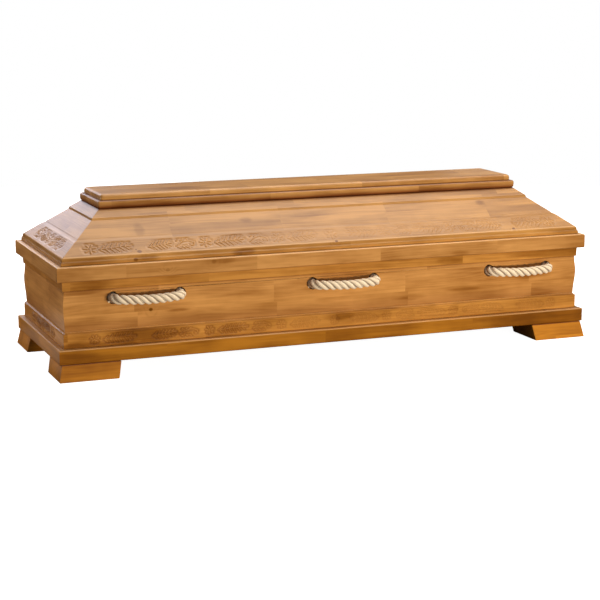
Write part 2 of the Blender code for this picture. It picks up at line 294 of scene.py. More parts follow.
def number_blocks(tree, along, across, stave, block):
    """The chance value of each block, and the place along the grain, shifted by it."""
    staves = add(tree, "Math DIVIDE", across, stave)
    row = add(tree, "Math FLOOR", staves)
    row_chance = add(tree, "TexWhiteNoise", {"W": row}, noise_dimensions="1D")
    staggered = add(tree, "Math MULTIPLY_ADD", row_chance, JOINT_STAGGER, along)
    lengths = add(tree, "Math DIVIDE", staggered, block)
    column = add(tree, "Math FLOOR", lengths)
    pair = add(tree, "CombineXYZ", row, column)
    chance = add(tree, "TexWhiteNoise", pair, noise_dimensions="2D")
    return chance, add(tree, "Math MULTIPLY_ADD", chance, FIGURE_SHIFT, along)


# %% [markdown]
# ## Noise along the grain
# Fibres, streaks and clouds are one kind of noise, drawn out along the board by different amounts. A
# picture of wood would show its seams, and noise has none. Real fibres are a third of a millimetre wide,
# too fine to show, so the finest noise draws them about 2 mm wide.

# %% List the patterns in the wood
# For each one: its squeeze along, across and into the wood, its waves per metre, and its detail
PATTERNS = {
    "wander": ((0.16, 1.0, 1.0), 9.0, 2.0),
    "season": ((0.16, 1.0, 1.0), 22.0, 1.0),
    "fibre": ((0.02, 1.0, 1.0), 420.0, 3.0),
    "streak": ((0.06, 1.0, 1.0), 60.0, 2.0),
    "thin_streak": ((0.06, 1.0, 1.0), 140.0, 2.0),
    "cloud": ((0.32, 1.0, 1.0), 13.0, 3.0),
    "shimmer": ((1.0, 0.14, 1.0), 24.0, 2.0),
    "ragged": ((0.32, 1.0, 1.0), 30.0, 3.0),
}
print("patterns", len(PATTERNS))


def make_patterns(tree, wood):
    """Every pattern at a place in the wood, each moved to run from -0.5 to 0.5."""
    made = {}
    for name, (squeeze, waves, detail) in PATTERNS.items():
        where = add(tree, "VectorMath MULTIPLY", wood, squeeze)
        noise = add(tree, "TexNoise", {"Vector": where, "Scale": waves, "Detail": detail})
        made[name] = add(tree, "Math SUBTRACT", noise, 0.5)
    return made


# %% [markdown]
# ## Rings and knots
# All points of a ring are equally far from the tree's heart, so a sine wave of that distance draws every
# ring at once, here 5.2 mm apart. A power of the wave makes the dark late wood narrow and the pale early
# wood wide. A knot is where a branch left the trunk: the rings are pushed out round it.

# %% Draw rings that bend round knots
RING = 0.0052
RING_WANDER = 0.05
BLOCK_WANDER = 0.09
LATE_WOOD_POWER = 2.2
SEASONS = (-0.2, 0.25)
KNOT_LENGTHENED = (0.8, 1.0, 1.0)
KNOT_PUSH = 2.2 * RING
KNOT_PUSH_REACH = 4.5
KNOT_EDGE = (0.55, 1.05)


def draw_rings(tree, place, chance, across, deep, patterns, knots):
    """How much late wood there is at each point, and the mark of the knots."""
    centred = add(tree, "Math SUBTRACT", chance, 0.5)
    sawn = add(tree, "Math MULTIPLY_ADD", centred, BLOCK_WANDER, across)
    from_heart = add(tree, "CombineXYZ", sawn, deep)
    radius = add(tree, "VectorMath LENGTH", from_heart, out="Value")
    radius = add(tree, "Math MULTIPLY_ADD", patterns["wander"], RING_WANDER, radius)
    mark = 0.0
    for spot, size, strength in knots:
        away = add(tree, "VectorMath SUBTRACT", place, spot)
        away = add(tree, "VectorMath MULTIPLY", away, KNOT_LENGTHENED)
        distance = add(tree, "VectorMath LENGTH", away, out="Value")
        bend = (distance, 0.0, KNOT_PUSH_REACH * size, KNOT_PUSH, 0.0)
        push = add(tree, "MapRange", *bend, **SMOOTH)
        radius = add(tree, "Math ADD", radius, push)
        disc = (distance, KNOT_EDGE[0] * size, KNOT_EDGE[1] * size, strength, 0.0)
        dark = add(tree, "MapRange", *disc, **SMOOTH)
        mark = add(tree, "Math MAXIMUM", mark, dark)
    turns = add(tree, "Math MULTIPLY", radius, 2 * math.pi / RING)
    wave = add(tree, "Math SINE", turns)
    wave = add(tree, "Math MULTIPLY_ADD", wave, 0.5, 0.5)
    late = add(tree, "Math POWER", wave, LATE_WOOD_POWER)
    season = add(tree, "MapRange", patterns["season"], *SEASONS, **SMOOTH)
    return add(tree, "Math MULTIPLY", late, season), mark


# %% [markdown]
# ## From pale wood to dark
# All patterns are added up to one number, the tone, which is 0 in pale wood and 1 in dark. Patches where
# the stain went in deeper raise it further, to 1.35 at most. One number keeps a board's colours in one
# family.

# %% Add up the tone
PLAIN_TONE = 0.34
RING_SHARE = 0.26
SHARES = {"fibre": 0.30, "streak": 0.85, "thin_streak": 0.50, "cloud": 1.60, "shimmer": 0.20}
BLOCK_SHARE = 0.24
PATCH_RAGGEDNESS = 0.9
PATCH_EDGE = (0.35, 1.1)
DARKEST_TONE = 1.35


def add_up_tone(tree, place, chance, late, patterns, contrast, patches):
    tone = add(tree, "Math MULTIPLY_ADD", late, RING_SHARE * contrast, PLAIN_TONE)
    for name, share in SHARES.items():
        tone = add(tree, "Math MULTIPLY_ADD", patterns[name], share * contrast, tone)
    centred = add(tree, "Math SUBTRACT", chance, 0.5)
    tone = add(tree, "Math MULTIPLY_ADD", centred, BLOCK_SHARE * contrast, tone)
    for spot, reach, strength in patches:
        away = add(tree, "VectorMath SUBTRACT", place, spot)
        away = add(tree, "VectorMath DIVIDE", away, reach)
        distance = add(tree, "VectorMath LENGTH", away, out="Value")
        ragged = add(tree, "Math MULTIPLY_ADD", patterns["ragged"], PATCH_RAGGEDNESS, distance)
        patch = add(tree, "MapRange", ragged, *PATCH_EDGE, strength, 0.0, **SMOOTH)
        tone = add(tree, "Math ADD", tone, patch)
    return add(tree, "Clamp", {"Value": tone, "Max": DARKEST_TONE})


# %% [markdown]
# ## Painted shade in the corners, stain in the carving, painted highlights on the edges
# Where boards meet and under overhangs the colour is darkened as painted shade, and the hollows of the
# carving hold darker stain. Along ledges and rounded arrises the colour is lightened as a painted highlight.
# One could paint these by hand. These places run level round the coffin, so a short list of heights marks
# them, and the carving brings its own mark as an attribute named hollow.

# %% Turn the tone into colour
DEEP_BROWN = "#4A2405"
STAIN_AND_SHADE_BROWN = "#8A4A1E"
# Painted shade: this brown darkens the creases where boards meet and under overhangs, and also gives the real
# stain in the carving's hollows
HIGHLIGHT_PALE = "#EFBE83"
# Painted highlight: a pale colour laid along ledges and rounded arrises
KNOT_BROWN = "#704000"
SHADED_CREASE_CORE = 0.15
HIGHLIGHT_CORE = 0.3


def mark_heights(tree, height, lines, core, mark):
    """Raise a mark near each height: all of its strength within the core and none beyond its reach."""
    for level, reach, strength in lines:
        off = add(tree, "Math SUBTRACT", height, level)
        off = add(tree, "Math ABSOLUTE", off)
        near = add(tree, "MapRange", off, core * reach, reach, strength, 0.0, **SMOOTH)
        mark = add(tree, "Math MAXIMUM", mark, near)
    return mark


def colour_wood(tree, place, tone, pale, dark, shaded_creases, painted_highlights, knot_mark):
    past_dark = add(tree, "Math SUBTRACT", tone, 1.0)
    is_past = add(tree, "Math GREATER_THAN", tone, 1.0)
    colour = add(tree, "Mix", {FACTOR: tone, FIRST: linear(pale), SECOND: linear(dark)}, **COLOURS)
    deeper = add(tree, "Mix", {FACTOR: past_dark, FIRST: linear(dark), SECOND: linear(DEEP_BROWN)}, **COLOURS)
    colour = add(tree, "Mix", {FACTOR: is_past, FIRST: colour, SECOND: deeper}, **COLOURS)

    height = add(tree, "SeparateXYZ", place, out="Z")
    hollow = add(tree, "Attribute", out="Fac", attribute_name="hollow")
    # Painted shade at the creases, taken together with the real stain held in the carving's hollows
    stain_and_shade = mark_heights(tree, height, shaded_creases, SHADED_CREASE_CORE, hollow)
    stain_and_shade_colour = {FACTOR: 1.0, FIRST: colour, SECOND: linear(STAIN_AND_SHADE_BROWN)}
    stain_and_shade_colour = add(tree, "Mix", stain_and_shade_colour, **COLOURS, blend_type="MULTIPLY")
    colour = add(tree, "Mix", {FACTOR: stain_and_shade, FIRST: colour, SECOND: stain_and_shade_colour}, **COLOURS)
    # Painted highlight along the ledges and rounded arrises
    painted_highlight_mark = mark_heights(tree, height, painted_highlights, HIGHLIGHT_CORE, 0.0)
    for mark, code in ((painted_highlight_mark, HIGHLIGHT_PALE), (knot_mark, KNOT_BROWN)):
        if mark != 0.0:
            colour = add(tree, "Mix", {FACTOR: mark, FIRST: colour, SECOND: linear(code)}, **COLOURS)
    return colour


# %% [markdown]
# ## The whole softwood
# The material reads the grain, asks the cells above for its pattern and wires the result to the shader. The
# clear lacquer has an IOR of 1.5 and sinks a little between the fibres, which a faint bump shows.

# %% Put the softwood together
LACQUER_IOR = 1.5
FIBRE_SHINE = 0.10
LATE_WOOD_RELIEF = -0.4
GRAIN_RELIEF = {"Strength": 0.25, "Distance": 0.0004}


def softwood(name, pale, dark, roughness, stave=0.4, block=0.55, contrast=1.0,
             knots=(), patches=(), shaded_creases=(), painted_highlights=()):
    material = bpy.data.materials.new(name)
    material.use_nodes = True
    tree = material.node_tree
    grain = add(tree, "Attribute", out="Vector", attribute_name="grain")
    along, across, deep = add(tree, "SeparateXYZ", grain).node.outputs
    place = add(tree, "TexCoord", out="Object")
    chance, moved = number_blocks(tree, along, across, stave, block)
    patterns = make_patterns(tree, add(tree, "CombineXYZ", moved, across, deep))
    late, knot_mark = draw_rings(tree, place, chance, across, deep, patterns, knots)
    tone = add_up_tone(tree, place, chance, late, patterns, contrast, patches)
    colour = colour_wood(tree, place, tone, pale, dark, shaded_creases, painted_highlights, knot_mark)
    shine = add(tree, "Math MULTIPLY_ADD", patterns["fibre"], FIBRE_SHINE, roughness)
    relief = add(tree, "Math MULTIPLY_ADD", late, LATE_WOOD_RELIEF, patterns["fibre"])
    normal = add(tree, "Bump", {"Height": relief, **GRAIN_RELIEF})
    shader = tree.nodes["Principled BSDF"]
    for socket, value in (("Base Color", colour), ("Roughness", shine), ("Normal", normal)):
        tree.links.new(value, shader.inputs[socket])
    shader.inputs["IOR"].default_value = LACQUER_IOR
    return material


# %% [markdown]
# ## Knots and stains in their places
# A few small knots and darker patches are set where the eye finds them on the front, and a few more on the
# back and the ends. Leaving them to chance would be quicker, and would put them in other places.

# %% Places of knots and stains
# A knot is a place, a radius and a strength
LID_KNOTS = [
    (on_lid(-0.729, 0.0362), 0.0085, 1.0),
    (on_lid(-0.739, 0.0440), 0.0035, 0.9),
    (on_lid(0.009, 0.0290), 0.0062, 1.0),
    (on_lid(0.739, 0.0346), 0.0062, 1.0),
    ((-0.747, -0.3155, 0.4094), 0.0080, 0.95),
    ((0.42, 0.230, 0.4850), 0.0075, 0.8),
    ((-0.55, 0.180, 0.5220), 0.0060, 0.7),
    ((0.918, 0.09, 0.4870), 0.0060, 0.7),
]
WALL_KNOTS = [
    ((-0.695, -0.3100, 0.2280), 0.0072, 1.0),
    ((0.52, 0.3095, 0.2330), 0.0080, 0.85),
    ((-0.18, 0.3090, 0.2070), 0.0060, 0.7),
    ((-1.005, -0.110, 0.2500), 0.0065, 0.45),
    ((1.005, 0.12, 0.2250), 0.0070, 0.8),
]
RIM_KNOTS = [
    ((-0.469, -0.335, 0.388), 0.0085, 0.45),
    ((-0.638, -0.335, 0.369), 0.0070, 0.35),
    ((0.60, 0.335, 0.380), 0.0070, 0.7),
]
# A stain is a place, its reach along X, Y and Z, and a strength
LID_STAINS = [
    (on_lid(-0.705, 0.121), (0.022, 0.05, 0.030), 0.40),
    (on_lid(-0.300, 0.136), (0.030, 0.025, 0.012), 0.45),
    (on_lid(-0.080, 0.142), (0.10, 0.03, 0.016), 0.40),
    (on_lid(0.655, 0.155), (0.022, 0.03, 0.014), 0.5),
    (on_lid(-0.14, 0.120), (0.12, 0.03, 0.014), 0.25),
    ((-0.93, -0.315, 0.412), (0.16, 0.02, 0.016), 0.50),
    ((-0.70, -0.315, 0.412), (0.05, 0.02, 0.016), 0.6),
    ((-0.35, -0.315, 0.412), (0.05, 0.02, 0.016), 0.75),
    (on_lid(-0.86, 0.050), (0.14, 0.04, 0.030), 0.25),
    ((0.35, 0.19, 0.515), (0.12, 0.03, 0.020), 0.4),
    ((0.98, -0.315, 0.412), (0.10, 0.02, 0.016), 0.35),
]
WALL_STAINS = [
    ((-0.590, -0.310, 0.219), (0.05, 0.02, 0.007), 0.55),
    ((0.80, -0.310, 0.250), (0.11, 0.03, 0.016), 0.45),
    ((0.31, -0.310, 0.200), (0.07, 0.03, 0.014), 0.35),
    ((-0.20, 0.310, 0.240), (0.14, 0.03, 0.020), 0.4),
    ((-0.93, -0.310, 0.305), (0.10, 0.03, 0.010), 0.35),
    ((-0.94, -0.310, 0.195), (0.12, 0.03, 0.030), 0.45),
    ((0.05, -0.310, 0.300), (0.16, 0.03, 0.012), 0.30),
    ((-0.33, -0.310, 0.262), (0.14, 0.03, 0.014), 0.25),
    ((0.52, -0.310, 0.215), (0.10, 0.03, 0.010), 0.40),
]
RIM_STAINS = [
    ((-0.45, -0.335, 0.388), (0.07, 0.02, 0.014), 0.35),
    ((0.50, -0.335, 0.358), (0.05, 0.02, 0.012), 0.35),
    ((-0.98, -0.335, 0.370), (0.11, 0.03, 0.050), 0.45),
    ((0.98, -0.335, 0.370), (0.12, 0.03, 0.050), 0.25),
]
MOULDING_STAINS = [
    ((-0.90, -0.31, 0.330), (0.09, 0.03, 0.030), 0.45),
    ((0.90, -0.31, 0.330), (0.20, 0.03, 0.030), 0.60),
    ((0.46, -0.31, 0.330), (0.07, 0.03, 0.020), 0.35),
]
CARVED_STRIP_STAINS = [
    ((-0.74, -0.313, 0.142), (0.15, 0.03, 0.030), 0.85),
    ((-0.90, -0.313, 0.118), (0.26, 0.03, 0.014), 0.80),
    ((0.02, -0.313, 0.152), (0.08, 0.03, 0.020), 0.55),
    ((-0.40, -0.313, 0.140), (0.05, 0.03, 0.020), 0.4),
    ((-0.58, -0.313, 0.140), (0.05, 0.03, 0.020), 0.4),
    ((-0.96, -0.313, 0.150), (0.08, 0.03, 0.040), 0.50),
    ((-1.01, -0.02, 0.140), (0.04, 0.20, 0.020), 0.6),
]
PLINTH_STAINS = [
    ((0.92, -0.334, 0.085), (0.34, 0.03, 0.045), 0.65),
    ((-1.00, -0.334, 0.080), (0.16, 0.03, 0.040), 0.35),
    ((-0.70, -0.334, 0.068), (0.16, 0.03, 0.014), 0.30),
]
print("knots", len(LID_KNOTS + WALL_KNOTS + RIM_KNOTS))

# %% [markdown]
# ## The finishes of this coffin
# All boards have the same honey stain, a shade deeper on the strips, the plinth and the feet. A crease is a
# height where boards meet and under overhangs, where the colour is darkened as painted shade, and a highlight
# line is where the colour is lightened as a painted highlight along a ledge or arris. One function makes all
# the finishes, because they are one wood with different numbers.

# %% One material for each kind of board
# Shaded creases and painted highlight lines are a height, how far they reach from it, and a strength
FINISHES = {
    "lid_wood": softwood(
        "stained_spruce_lid", "#B88341", "#85551C", 0.34, stave=0.062, block=0.42,
        knots=LID_KNOTS, patches=LID_STAINS,
        shaded_creases=((0.5670, 0.0090, 0.95), (0.3995, 0.0040, 0.6)),
        painted_highlights=((0.4275, 0.0022, 0.35), (0.5345, 0.0020, 0.25)),
    ),
    "cap_wood": softwood(
        "stained_spruce_cap", "#C48F4E", "#8B5823", 0.34, stave=0.090, block=0.60, contrast=1.2,
        shaded_creases=((0.5935, 0.0050, 0.65), (0.5640, 0.0220, 0.85)),
    ),
    "rim_wood": softwood(
        "stained_spruce_rim", "#C99151", "#945F27", 0.36, block=0.48, contrast=0.9,
        knots=RIM_KNOTS, patches=RIM_STAINS,
        shaded_creases=((0.3475, 0.0040, 0.3),), painted_highlights=((0.4005, 0.0045, 0.55),),
    ),
    "wall_wood": softwood(
        "stained_spruce_walls", "#CF934F", "#975F25", 0.36, stave=0.072, block=0.52,
        knots=WALL_KNOTS, patches=WALL_STAINS,
        shaded_creases=((0.3125, 0.0060, 0.4), (0.1700, 0.0500, 0.30)),
    ),
    "strip_wood": softwood(
        "stained_spruce_strips", "#C7893E", "#90591B", 0.36, block=0.50, contrast=1.1,
        patches=MOULDING_STAINS + CARVED_STRIP_STAINS,
        shaded_creases=((0.3480, 0.0070, 0.45), (0.3120, 0.0030, 0.20), (0.1110, 0.0050, 0.15)),
        painted_highlights=((0.1695, 0.0030, 0.55),),
    ),
    "plinth_wood": softwood(
        "stained_spruce_plinth", "#B1721F", "#7F4A0E", 0.38, block=0.60, contrast=1.1,
        patches=PLINTH_STAINS, shaded_creases=((0.0600, 0.0030, 0.4),), painted_highlights=((0.1095, 0.0035, 0.40),),
    ),
    "foot_wood": softwood(
        "stained_spruce_feet", "#C27D24", "#8A5011", 0.42, block=0.9, shaded_creases=((0.0600, 0.0050, 0.8),),
    ),
    "floor_wood": softwood("planed_spruce_floor", "#D2A468", "#A97A40", 0.60, stave=0.12),
}
print("finishes", len(FINISHES))


def dress(piece, node, slot):
    piece.data.materials.clear()
    piece.data.materials.append(FINISHES[slot])
    for polygon in piece.data.polygons:
        polygon.material_index = 0
    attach(piece, "root")
    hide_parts(node)


# %% [markdown]
# ## The plain boards
# Walls, rims, mouldings, plinths, caps and feet keep the shapes of their solids. They could be modelled
# anew, but a copy with softened edges fits its neighbours without measuring. The heart of the tree sits
# somewhere behind each board, at a different place each time.

# %% Finish the plain boards
SLOTS = {entry["node"]: entry["material_slot"] for entry in frame["record"]["subparts"]}
ARRISES = {
    "base_side": 0.0012, "base_end": 0.0012, "rim": 0.0030, "top_moulding": 0.0020, "plinth": 0.0035,
    "lid_cap": 0.0008, "foot": 0.0012, "base_floor": 0.0010,
}
FLAT_BOARDS = ("lid_cap", "base_floor")
BOWED_BOARDS = ("base_side", "base_end")
HEART_ACROSS = 0.06
HEART_DEEP = (0.06, 0.14)
GRAIN_START = (3, 90)
WOOD_SEED = 11
chance = np.random.default_rng(WOOD_SEED)

for node in sorted(frame["nodes"]):
    kind = next((key for key in ARRISES if node.startswith(key)), None)
    if kind is None:
        continue
    side = side_of(node)
    piece = copy_board(node, node + "_finished")
    soften(piece, side, ARRISES[kind])
    flat = kind in FLAT_BOARDS
    low, high = (Vector(corner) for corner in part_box(node))
    middle = to_front(side) @ np.array((low + high) / 2)
    across = middle[1] if flat else middle[2]
    deep = middle[2] if flat else -middle[1]
    heart = (across + chance.uniform(-HEART_ACROSS, HEART_ACROSS), deep - chance.uniform(*HEART_DEEP))
    lay_grain(piece, side, 0.0 if flat else math.pi / 2, heart[0], heart[1], chance.uniform(*GRAIN_START))
    shade(piece, PLAIN_ANGLE)
    if kind in BOWED_BOARDS:
        print(node, "bow shaded from", shade_bow(piece, side), "heights")
    dress(piece, node, SLOTS[node])

# %% [markdown]
# ## The carved frieze
# Leaves, little flowers and scrolls are cut about 2 mm deep into the band round the lid's foot and into the
# strip above the plinth, an old and common ornament. One could sculpt them by hand. Drawn as a few strokes,
# each with a start, an end and a width at both, one leaf serves wherever it is needed.

# %% Draw leaves, flowers and scrolls as strokes
# A point is its place along and up the frieze and the stroke's width there, all in widths of the frieze
LOBES = 6
PETALS = 7
STEM = np.linspace(0, 0.8, 7)
CURL = np.linspace(0.3, 4.4, 8)


def leaf(start, reach):
    """A leaf from a place along the frieze. A minus reach points the other way."""
    way = math.copysign(1, reach)

    def on_rib(t):
        return start + reach * t, 0.42 + 0.22 * math.sin(2.2 * t) * t

    rib = [(*on_rib(t), 0.055) for t in np.linspace(0, 1, 6)]
    strokes = list(zip(rib, rib[1:]))
    for k in range(LOBES):
        t = 0.06 + 0.15 * k
        x, y = on_rib(t)
        spread = 0.42 * math.sin(math.pi * (0.22 + 0.68 * t))
        for sign in (1, -1):
            strokes.append(((x, y + sign * 0.05, 0.075), (x + way * 0.24, y + sign * spread, 0.045)))
    return strokes


def flower(middle):
    strokes = [((middle - 0.01, 0.5, 0.10), (middle + 0.01, 0.5, 0.10))]
    for k in range(PETALS):
        angle = 2 * math.pi * (k + 0.25) / PETALS
        x, y = math.cos(angle), math.sin(angle)
        root = (middle + 0.17 * x, 0.5 + 0.17 * y, 0.06)
        strokes.append((root, (middle + 0.375 * x, 0.5 + 0.375 * y, 0.09)))
    return strokes


def scroll(start, reach):
    """A stem that curls up at its end, with three buds below it and three above."""
    way = math.copysign(1, reach)
    stem = [(start + reach * t, 0.30 + 0.45 * math.sin(math.pi * 0.9 * t), 0.05) for t in STEM]
    x, y, width = stem[-1]
    stem += [(x + way * 0.16 * math.sin(a), y - 0.17 * (1 - math.cos(a)), width) for a in CURL]
    strokes = list(zip(stem, stem[1:]))
    for t in (0.10, 0.30, 0.50):
        x = start + reach * t
        strokes.append(((x, 0.20, 0.07), (x + way * 0.20, 0.07, 0.05)))
        strokes.append(((x, 0.78, 0.07), (x + way * 0.16, 0.94, 0.05)))
    return strokes


print("strokes in a leaf", len(leaf(0, 1)), "in a flower", len(flower(0)), "in a scroll", len(scroll(0, 1)))

# %% [markdown]
# ## Laying out the frieze
# Both halves of a side mirror each other. From each end a flower and a leaf come first, then a small gap
# and a longer run. A list of motifs with their places is easier to change than carving drawn in one piece.

# %% The layout
# Each motif has its place from the middle of the side, and its reach, in metres
LONG_FRIEZE = (
    (flower, 0.900), (leaf, 0.868, -0.115), (leaf, 0.690, -0.085), (scroll, 0.592, -0.075),
    (flower, 0.482), (leaf, 0.448, -0.110), (scroll, 0.318, -0.075), (flower, 0.208),
    (leaf, 0.172, -0.110), (flower, 0.0),
)
SHORT_FRIEZE = ((flower, 0.0), (leaf, 0.030, 0.075), (scroll, 0.125, 0.06))


def lay_out(frieze, width):
    strokes = []
    for motif, *places in frieze:
        strokes += motif(*(place / width for place in places))
    return strokes


# %% [markdown]
# ## How deep the tool went
# The carver cut the ground away close round each stroke and left the stroke standing, with a rounded top.
# So the depth follows from the distance to the nearest stroke. No two leaves by hand are alike, so each
# stroke strays a little, the same way on every run. The middle of a long side is cut more lightly.

# %% Work out the depth
CARVING_SEED = 7
STRAY = 0.018
THINNEST = 0.6
WIDTH_CHANCE = 0.15
SEARCH = 0.35
CUT_REACH = 0.20
CUT_SLOPE = 0.17
TIRED_PLACES = (-0.95, -0.34, -0.26, 0.26, 0.34, 0.95)
TIRED_DEPTHS = (1.0, 1.0, 0.65, 0.45, 0.45, 0.50)


def carving(along, across, width, long_side):
    """How deep the tool went at each point, from 0 on the board's face to 1 between the leaves."""
    strokes = lay_out(LONG_FRIEZE if long_side else SHORT_FRIEZE, width)
    x, y = np.abs(along) / width, across / width
    ridge, halo = np.zeros_like(x), np.zeros_like(x)
    wobble = np.random.default_rng(CARVING_SEED).normal(0, 1, (len(strokes), 5))
    for ((ax, ay, wa), (bx, by, wb)), hand in zip(strokes, wobble):
        ax, ay, bx, by = np.array([ax, ay, bx, by]) + STRAY * hand[:4]
        wa *= max(THINNEST, 1 + WIDTH_CHANCE * hand[4])
        near = np.abs(x - (ax + bx) / 2) < abs(bx - ax) / 2 + SEARCH
        px, py = x[near] - ax, y[near] - ay
        run = np.array([bx - ax, by - ay])
        share = np.clip((px * run[0] + py * run[1]) / (run @ run), 0, 1)
        wide = wa + (wb - wa) * share
        distance = np.hypot(px - share * run[0], py - share * run[1])
        top = np.clip(1 - distance / wide, 0, 1)
        ridge[near] = np.maximum(ridge[near], top * (2 - top))
        halo[near] = np.maximum(halo[near], np.clip((wide + CUT_REACH - distance) / CUT_SLOPE, 0, 1))
    light = np.interp(along, TIRED_PLACES, TIRED_DEPTHS)
    return halo * (1 - ridge) * (light if long_side else 1.0)


# %% [markdown]
# ## Setting the frieze into a board
# The carving needs vertices every 1.6 mm, and the rest of the board hardly any. So the flat face is inset
# and opened, a fine grid with the carving is laid in the opening, and the strip between the borders is
# filled. The grid sinks below the face, as carving takes wood away. A bump in the material would be lighter
# to make, but it wouldn't catch the light at the lid's low angle.

# %% Open a face and lay the carving in it
STEP = 0.0016
BORDER = 0.0016
CLEAR_OF_MITRES = 1.6 * BORDER
EDGE_FADE = 0.002
END_MARGIN = 0.012
END_FADE = 0.010
LONG_SIDE = 0.5
SAME_WAY = 0.999


def widest_face(piece, side, slope, below):
    """The largest face with the slope that reaches below a height."""
    points, turn = turned_points(piece, side), to_front(side)
    normal = np.array([0.0, -math.sin(slope), math.cos(slope)])
    faces = [
        face for face in piece.data.polygons
        if (turn @ np.array(face.normal)) @ normal > SAME_WAY and points[list(face.vertices), 2].min() < below
    ]
    best = max(faces, key=lambda face: face.area)
    return best.index, points[list(best.vertices)]


def open_face(piece, chosen):
    """Inset the chosen face by half a border and take it out."""
    for polygon in piece.data.polygons:
        polygon.select = polygon.index == chosen
    only(piece)
    bpy.ops.object.mode_set(mode="EDIT")
    bpy.ops.mesh.select_mode(type="FACE")
    bpy.ops.mesh.inset(thickness=BORDER / 2)
    bpy.ops.mesh.delete(type="FACE")
    bpy.ops.object.mode_set(mode="OBJECT")


def join_grid(piece, grid):
    """Join the grid to the board and fill the strip between the two borders."""
    only(grid, piece)
    bpy.ops.object.join()
    bpy.ops.object.mode_set(mode="EDIT")
    bpy.ops.mesh.select_all(action="DESELECT")
    bpy.ops.mesh.select_mode(type="EDGE")
    bpy.ops.mesh.select_non_manifold(extend=False)
    bpy.ops.mesh.fill(use_beauty=False)
    bpy.ops.mesh.select_all(action="SELECT")
    bpy.ops.mesh.normals_make_consistent(inside=False)
    bpy.ops.object.mode_set(mode="OBJECT")


def carve(piece, side, depth, slope, below, margin_low, margin_high, stain):
    chosen, corners = widest_face(piece, side, slope, below)
    up = np.array([0.0, math.cos(slope), math.sin(slope)])
    normal = np.array([0.0, -math.sin(slope), math.cos(slope)])
    heights = corners @ up
    low, high = heights.min(), heights.max()
    origin = corners[heights.argmin()]
    half_low = np.abs(corners[heights < (low + high) / 2][:, 0]).max()
    half_high = np.abs(corners[heights >= (low + high) / 2][:, 0]).max()
    open_face(piece, chosen)

    # The grid is laid at its size, and its rows are then drawn in towards the mitres
    field = high - low
    columns, rows = int(2 * half_low / STEP), int((field - 2 * BORDER) / STEP)
    bpy.ops.object.select_all(action="DESELECT")
    bpy.ops.mesh.primitive_grid_add(x_subdivisions=columns, y_subdivisions=rows, size=2.0)
    grid = bpy.context.active_object
    flat = points_of(grid)
    v = BORDER + (flat[:, 1] + 1) / 2 * (field - 2 * BORDER)
    half = half_low + (half_high - half_low) * (v / field) - CLEAR_OF_MITRES
    x = flat[:, 0] * half
    width = field - margin_low - margin_high
    inside = np.clip(np.minimum(v - margin_low, field - margin_high - v) / EDGE_FADE + 1.0, 0, 1)
    inside *= np.clip((half - np.abs(x) - END_MARGIN) / END_FADE, 0, 1)
    cut = inside * carving(x, v - margin_low, width, half_low > LONG_SIDE)
    base = np.stack([x, np.full_like(x, origin[1]), np.full_like(x, origin[2])], 1)
    placed = (base + np.outer(v, up) - np.outer(depth * cut, normal)) @ to_front(side)
    grid.data.vertices.foreach_set("co", placed.ravel())
    hollow = grid.data.attributes.new("hollow", "FLOAT", "POINT")
    hollow.data.foreach_set("value", (stain * cut).astype(np.float32))
    join_grid(piece, grid)
    return columns * rows * 2


# %% [markdown]
# ## The carved boards
# The lid's boards are carved on their lowest slope and the strips on their upright face. The lid's ends
# look cut less deep than its long sides, and the strips hold more stain in their hollows.

# %% Carve the lid and the strips
LID_DEPTHS = {"front": 0.0021, "back": 0.0021, "left": 0.0012, "right": 0.0012}
LID_CARVING = {"slope": BAND_SLOPE, "below": 0.45, "margin_low": 0.009, "margin_high": 0.007, "stain": 0.09}
LID_ARRIS = 0.0020
LID_HEART = (0.16, 0.40)
STRIP_DEPTH = 0.0025
UPRIGHT = math.pi / 2
STRIP_CARVING = {"slope": UPRIGHT, "below": 0.12, "margin_low": 0.005, "margin_high": 0.003, "stain": 0.36}
STRIP_ARRIS = 0.0035
STRIP_HEART = (0.10, 0.20)
CARVED_HEART_ACROSS = 0.05

for node in sorted(frame["nodes"]):
    lid = node.startswith(("lid_side", "lid_end"))
    if not lid and not node.startswith("carved_band"):
        continue
    side = side_of(node)
    piece = copy_board(node, node + "_carved")
    soften(piece, side, LID_ARRIS if lid else STRIP_ARRIS)
    if lid:
        made = carve(piece, side, LID_DEPTHS[side], **LID_CARVING)
    else:
        made = carve(piece, side, STRIP_DEPTH, **STRIP_CARVING)
    slope, heart = (LID_SLOPE, LID_HEART) if lid else (UPRIGHT, STRIP_HEART)
    heart_across = heart[0] + chance.uniform(-CARVED_HEART_ACROSS, CARVED_HEART_ACROSS)
    lay_grain(piece, side, slope, heart_across, heart[1], chance.uniform(*GRAIN_START))
    shade(piece, CARVED_ANGLE)
    dress(piece, node, SLOTS[node])
    print(node, "carved with", made, "triangles")

# %% [markdown]
# ## The rope's line
# Each handle is one rope, drawn almost straight between two round holes in the wall. A curve by eye might
# miss the holes, so the line of the right half is worked out: a long slow bow, a bend of about a rope's
# width into the hole, and straight on to the knot inside. The rope sags by a few millimetres.

# %% Work out the line
ROPE_RADIUS = 0.017
ROPE_PROUD = 0.050
ROPE_SAG = 0.004
BOW_ANGLE = math.radians(7)
BEND_RADIUS = 0.036
BORE_HEIGHT = 0.279
BORE_HALF_SPAN = 0.1215
PANEL_CREST_INSET = 0.0236
WALL_INSIDE_INSET = 0.048
WALL_FACE = RIM_HALF_WIDTH - PANEL_CREST_INSET
WALL_THICKNESS = WALL_INSIDE_INSET - PANEL_CREST_INSET
KNOT_RADIUS = 0.040
INTO_KNOT = 0.020
PAST_KNOT = 0.006
POINTS_BETWEEN = 40
ROPE_STEP = 0.0025


